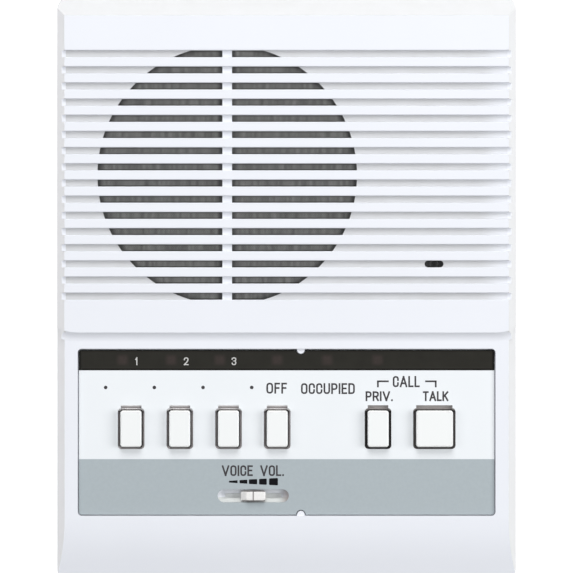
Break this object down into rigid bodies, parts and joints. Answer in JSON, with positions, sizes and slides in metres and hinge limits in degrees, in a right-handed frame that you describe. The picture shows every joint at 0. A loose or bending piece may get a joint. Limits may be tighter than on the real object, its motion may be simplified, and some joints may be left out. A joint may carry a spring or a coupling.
{
  "type": "desk intercom",
  "caption": "White plastic desk intercom master with a slotted speaker grille, press keys, a slide volume control and a smoked indicator window.",
  "frame": {"origin": "centre of the desk plane that the rubber feet stand on, the unit lying on its back", "axes": "+X to the right as the panel is read, +Y to the unit's top end, +Z out of its face"},
  "size_m": [0.1606, 0.208, 0.0526],
  "materials": {
    "case_plastic": "fine satin moulding",
    "foot_rubber": "matte",
    "screw_steel": "zinc plated",
    "smoked_acrylic": "polished, smoked",
    "printed_plate": "satin, printed, white above and grey below",
    "switch_plastic": "moulded",
    "bank_steel": "zinc plated",
    "spring_steel": "bright wire",
    "knob_plastic": "satin",
    "holder_plastic": "moulded",
    "lamp_red": "clear tinted",
    "board_laminate": "phenolic laminate",
    "core_iron": "varnished laminations",
    "copper_winding": "enamelled wire",
    "capacitor_sleeve": "sleeve",
    "component_black": "moulded",
    "socket_plastic": "moulded",
    "microphone_can": "satin",
    "boot_rubber": "matte",
    "lead_insulation": "insulated wire",
    "grille_cloth": "woven",
    "gasket_foam": "felt",
    "basket_steel": "plated pressing",
    "surround_cloth": "doped cloth",
    "cone_paper": "pressed paper",
    "spider_cloth": "doped cloth",
    "ferrite": "sintered",
    "pole_steel": "plated",
    "tag_laminate": "laminate",
    "terminal_plastic": "moulded",
    "terminal_brass": "plain",
    "key_plastic": "satin",
    "stem_plastic": "moulded"
  },
  "bodies": {
    "case": {"front_shell": "case_plastic", "rear_cover": "case_plastic", "rubber_feet": "foot_rubber", "case_screws": "screw_steel", "inner_screws": "screw_steel", "indicator_window": "smoked_acrylic", "control_panel": "printed_plate", "push_switches": "switch_plastic", "switch_frame": "bank_steel", "latch_spring": "spring_steel", "volume_fader": "bank_steel", "lamp_holder": "holder_plastic", "indicator_lamps": "lamp_red", "main_board": "board_laminate", "transformer_core": "core_iron", "transformer_winding": "copper_winding", "capacitors": "capacitor_sleeve", "small_components": "component_black", "board_sockets": "socket_plastic", "microphone": "microphone_can", "microphone_boot": "boot_rubber", "microphone_leads": "lead_insulation", "speaker_cloth": "grille_cloth", "speaker_gasket": "gasket_foam", "speaker_basket": "basket_steel", "cone_surround": "surround_cloth", "speaker_spider": "spider_cloth", "speaker_magnet": "ferrite", "front_pole_plate": "pole_steel", "back_pole": "pole_steel", "speaker_tag": "tag_laminate", "speaker_clamps": "screw_steel", "speaker_leads": "lead_insulation", "terminal_block": "terminal_plastic", "terminal_hardware": "terminal_brass", "line_harness": "lead_insulation", "station_1_spring": "spring_steel", "station_2_spring": "spring_steel", "station_3_spring": "spring_steel", "off_spring": "spring_steel", "privacy_spring": "spring_steel", "talk_spring": "spring_steel"},
    "station_1": {"station_1_key": "key_plastic", "station_1_stem": "stem_plastic"},
    "station_2": {"station_2_key": "key_plastic", "station_2_stem": "stem_plastic"},
    "station_3": {"station_3_key": "key_plastic", "station_3_stem": "stem_plastic"},
    "off": {"off_key": "key_plastic", "off_stem": "stem_plastic"},
    "privacy": {"privacy_key": "key_plastic", "privacy_stem": "stem_plastic"},
    "talk": {"talk_key": "key_plastic", "talk_stem": "stem_plastic"},
    "latch": {"latch_bar": "bank_steel"},
    "volume": {"volume_knob": "knob_plastic", "volume_lever": "spring_steel"},
    "cone": {"speaker_cone": "cone_paper", "dust_cap": "cone_paper", "voice_coil": "copper_winding"}
  },
  "joints": [
    {"name": "station_1_press", "type": "slide", "parent": "case", "child": "station_1", "axis": [0, 0, -1], "range_m": [0, 0.003], "stiffness_N_per_m": 300, "springref_m": -0.002, "deforming": ["station_1_spring"]},
    {"name": "station_2_press", "type": "slide", "parent": "case", "child": "station_2", "axis": [0, 0, -1], "range_m": [0, 0.003], "stiffness_N_per_m": 300, "springref_m": -0.002, "deforming": ["station_2_spring"]},
    {"name": "station_3_press", "type": "slide", "parent": "case", "child": "station_3", "axis": [0, 0, -1], "range_m": [0, 0.003], "stiffness_N_per_m": 300, "springref_m": -0.002, "deforming": ["station_3_spring"]},
    {"name": "off_press", "type": "slide", "parent": "case", "child": "off", "axis": [0, 0, -1], "range_m": [0, 0.003], "stiffness_N_per_m": 300, "springref_m": -0.002, "deforming": ["off_spring"]},
    {"name": "privacy_press", "type": "slide", "parent": "case", "child": "privacy", "axis": [0, 0, -1], "range_m": [0, 0.003], "stiffness_N_per_m": 300, "springref_m": -0.002, "deforming": ["privacy_spring"]},
    {"name": "talk_press", "type": "slide", "parent": "case", "child": "talk", "axis": [0, 0, -1], "range_m": [0, 0.003], "stiffness_N_per_m": 300, "springref_m": -0.002, "deforming": ["talk_spring"]},
    {"name": "latch_bar_slide", "type": "slide", "parent": "case", "child": "latch", "axis": [1, 0, 0], "range_m": [0, 0.0012], "stiffness_N_per_m": 800, "springref_m": -0.001, "deforming": ["latch_spring"]},
    {"name": "volume_slide", "type": "slide", "parent": "case", "child": "volume", "axis": [1, 0, 0], "range_m": [-0.0075, 0.0075]},
    {"name": "cone_travel", "type": "slide", "parent": "case", "child": "cone", "axis": [0, 0, 1], "range_m": [-0.0005, 0.0005], "stiffness_N_per_m": 2000, "deforming": ["cone_surround", "speaker_spider"]}
  ]
}
